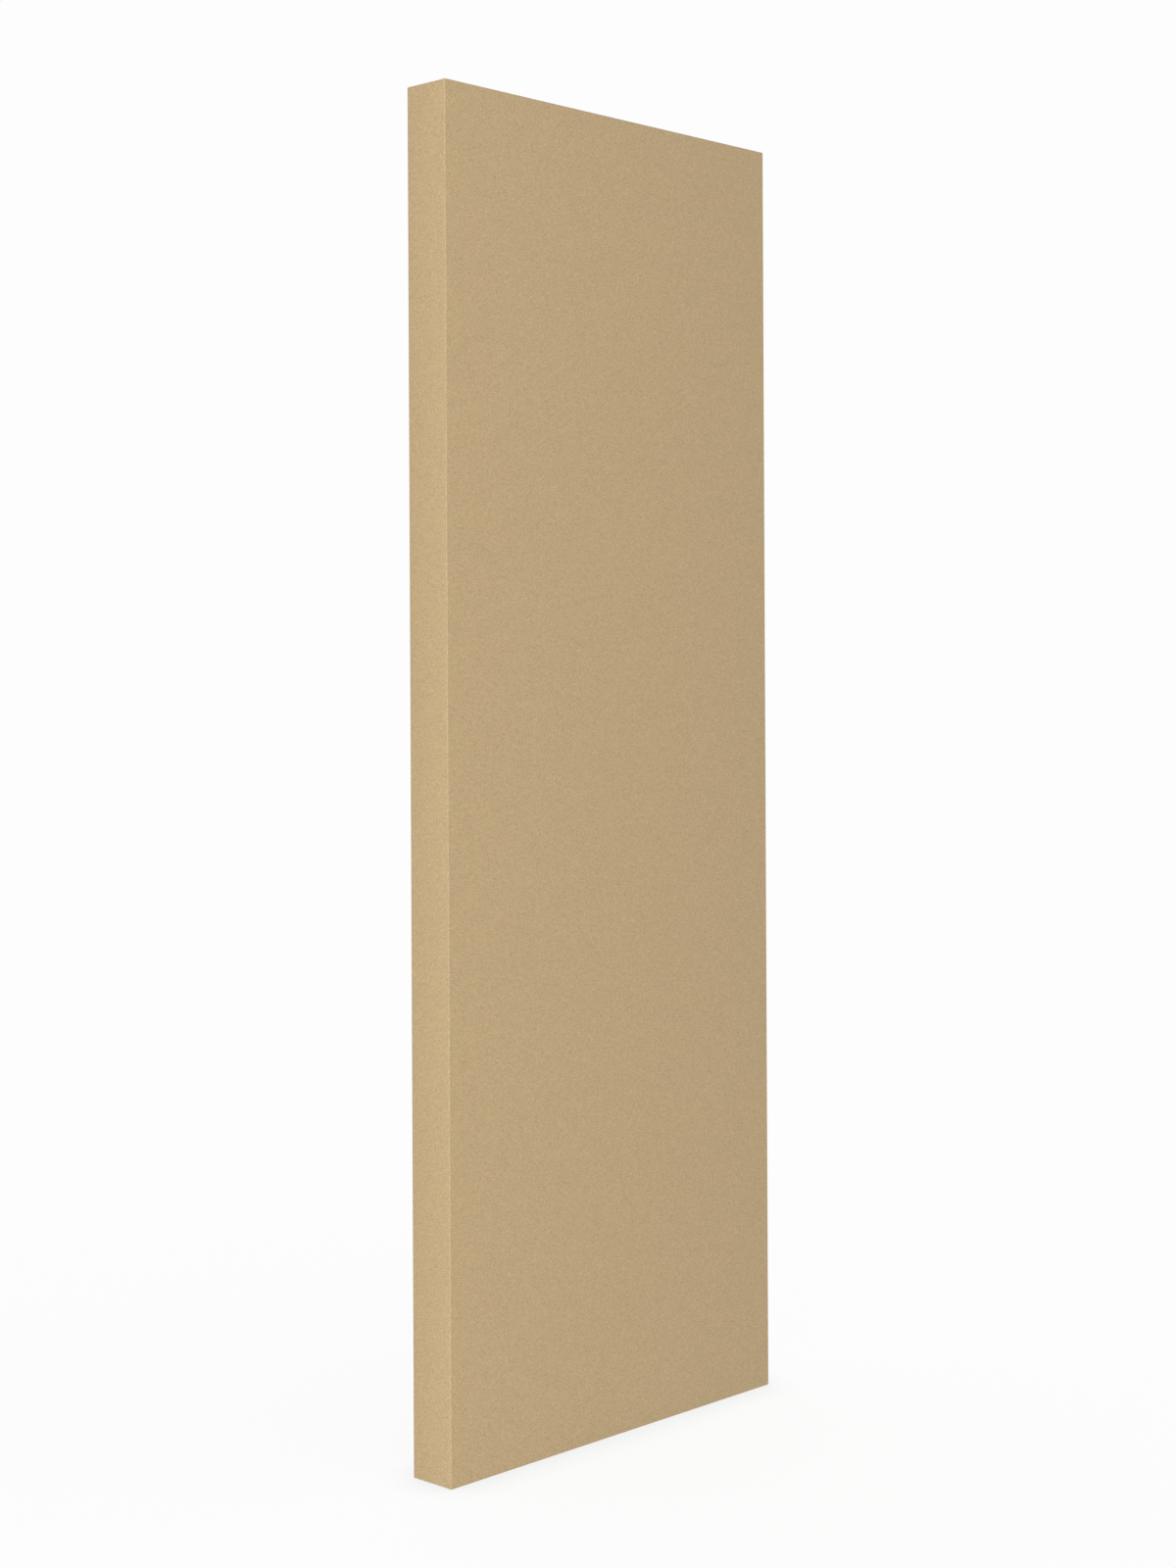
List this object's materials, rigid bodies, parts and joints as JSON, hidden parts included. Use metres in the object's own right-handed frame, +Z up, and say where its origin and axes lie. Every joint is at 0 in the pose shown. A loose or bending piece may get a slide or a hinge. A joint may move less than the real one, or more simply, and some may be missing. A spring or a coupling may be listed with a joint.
{
  "type": "acoustic panel",
  "caption": "Tall slim sound-absorbing wall panel: camel cloth stretched over a timber frame filled with mineral wool, with swinging D-ring hangers and rubber bumpers behind.",
  "frame": {"origin": "middle of the flat bottom face that the panel stands on", "axes": "+Z up along the panel's height, +X to the right seen from the front, +Y towards the rear (the cloth front faces -Y)"},
  "size_m": [0.4388, 0.0558, 1.2388],
  "materials": {
    "camel_cloth": "matte",
    "white_fleece": "matte",
    "mineral_wool": "matte",
    "pine": "matte",
    "birch_plywood": "matte",
    "black_backing": "matte",
    "zinc_plate": "satin",
    "yellow_zinc": "satin",
    "black_rubber": "matte"
  },
  "bodies": {
    "panel": {"fabric_cover": "camel_cloth", "front_fleece": "white_fleece", "absorber_slab": "mineral_wool", "stile_left": "pine", "stile_right": "pine", "rail_bottom": "pine", "rail_top": "pine", "brace_lower": "birch_plywood", "brace_upper": "birch_plywood", "dust_cover": "black_backing", "hanger_strap_left": "zinc_plate", "hanger_strap_right": "zinc_plate", "hanger_screw_left_upper": "zinc_plate", "hanger_screw_left_lower": "zinc_plate", "hanger_screw_right_upper": "zinc_plate", "hanger_screw_right_lower": "zinc_plate", "bumper_screw_bottom_left": "zinc_plate", "bumper_screw_bottom_right": "zinc_plate", "bumper_screw_top_left": "zinc_plate", "bumper_screw_top_right": "zinc_plate", "corner_screw_bottom_left_front": "yellow_zinc", "corner_screw_bottom_left_rear": "yellow_zinc", "corner_screw_bottom_right_front": "yellow_zinc", "corner_screw_bottom_right_rear": "yellow_zinc", "corner_screw_top_left_front": "yellow_zinc", "corner_screw_top_left_rear": "yellow_zinc", "corner_screw_top_right_front": "yellow_zinc", "corner_screw_top_right_rear": "yellow_zinc", "brace_screw_lower_left_low": "yellow_zinc", "brace_screw_lower_left_high": "yellow_zinc", "brace_screw_lower_right_low": "yellow_zinc", "brace_screw_lower_right_high": "yellow_zinc", "brace_screw_upper_left_low": "yellow_zinc", "brace_screw_upper_left_high": "yellow_zinc", "brace_screw_upper_right_low": "yellow_zinc", "brace_screw_upper_right_high": "yellow_zinc", "wall_bumper_bottom_left": "black_rubber", "wall_bumper_bottom_right": "black_rubber", "wall_bumper_top_left": "black_rubber", "wall_bumper_top_right": "black_rubber"},
    "ring_left": {"hanger_ring_left": "zinc_plate"},
    "ring_right": {"hanger_ring_right": "zinc_plate"}
  },
  "joints": [
    {"name": "ring_left_swing", "type": "hinge", "parent": "panel", "child": "ring_left", "pos_m": [-0.2053, 0.02775, 1.0877], "axis": [1, 0, 0], "range_deg": [0, 178]},
    {"name": "ring_right_swing", "type": "hinge", "parent": "panel", "child": "ring_right", "pos_m": [0.2053, 0.02775, 1.0877], "axis": [1, 0, 0], "range_deg": [0, 178]}
  ]
}
